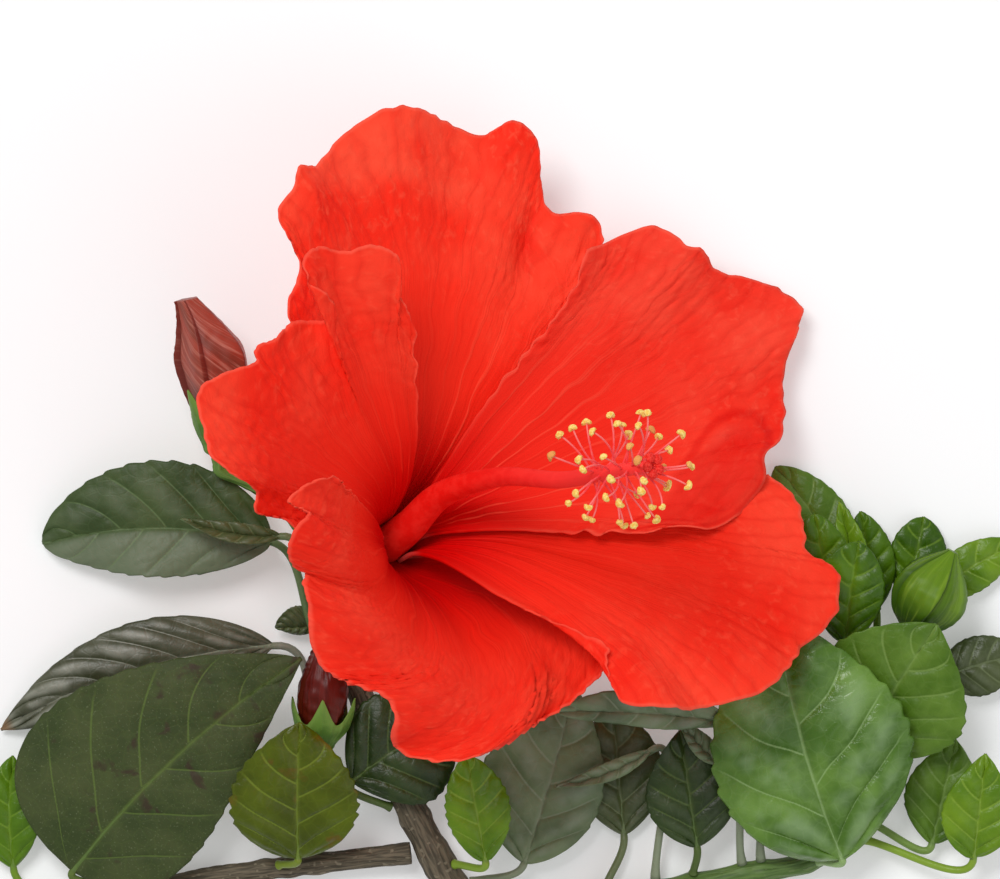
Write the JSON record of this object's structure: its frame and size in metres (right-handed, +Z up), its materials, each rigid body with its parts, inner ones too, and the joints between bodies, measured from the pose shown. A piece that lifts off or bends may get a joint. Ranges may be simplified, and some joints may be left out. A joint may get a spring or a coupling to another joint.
{
  "type": "cut flowering hibiscus branch",
  "caption": "Cut branch of a garden hibiscus lying flat: an open red bloom with its stamen column, furled buds and glossy leaves on a woody stem.",
  "frame": {"origin": "middle of the footprint of the lying branch, on the surface that it lies on", "axes": "+Z up, +X across the branch towards the bud's side and its longest extent, +Y from the cut end of the stem towards the upper petal"},
  "size_m": [0.1918, 0.1605, 0.0829],
  "materials": {
    "petal_red": "satin, finely veined petal",
    "column_red": "satin red, with yellow pollen on the anthers",
    "stem_bark": "dull grey-brown bark",
    "stem_green": "smooth young green bark",
    "calyx_green": "matt green",
    "bud_maroon": "satin maroon",
    "bud_green": "satin fresh green",
    "leaf_dark": "glossy dark green leaf",
    "leaf_bright": "glossy bright green leaf"
  },
  "bodies": {
    "root": {"bud_left": "bud_maroon", "bud_low": "bud_maroon", "bud_right": "bud_green", "calyx_bloom": "calyx_green", "calyx_bud_left": "calyx_green", "calyx_bud_low": "calyx_green", "leaf_bud_behind": "leaf_bright", "leaf_bud_side": "leaf_bright", "leaf_cluster_back": "leaf_dark", "leaf_cluster_front": "leaf_bright", "leaf_cluster_left": "leaf_bright", "leaf_cluster_side": "leaf_dark", "leaf_cluster_young": "leaf_bright", "leaf_left_bright": "leaf_bright", "leaf_left_edge": "leaf_bright", "leaf_left_grey": "leaf_dark", "leaf_left_large": "leaf_dark", "leaf_left_small": "leaf_dark", "leaf_left_upper": "leaf_dark", "leaf_left_young": "leaf_bright", "leaf_mid_deep": "leaf_dark", "leaf_mid_folded": "leaf_bright", "leaf_mid_glaucous": "leaf_dark", "leaf_mid_grey": "leaf_dark", "leaf_mid_light": "leaf_bright", "leaf_mid_right": "leaf_dark", "leaf_mid_vivid": "leaf_bright", "leaf_right_edge": "leaf_dark", "leaf_right_large": "leaf_bright", "leaf_right_low": "leaf_bright", "leaf_right_tip": "leaf_bright", "leaf_right_wide": "leaf_bright", "leaf_under_front": "leaf_dark", "petal_front": "petal_red", "petal_left": "petal_red", "petal_low": "petal_red", "petal_right": "petal_red", "petal_top": "petal_red", "shoot_left": "stem_bark", "shoot_right": "stem_green", "stalk_bloom": "stem_green", "stalk_bud_left": "stem_green", "stalk_bud_low": "stem_green", "stalk_bud_right": "stem_green", "stamen_column": "column_red", "stem_main": "stem_bark"}
  },
  "joints": []
}
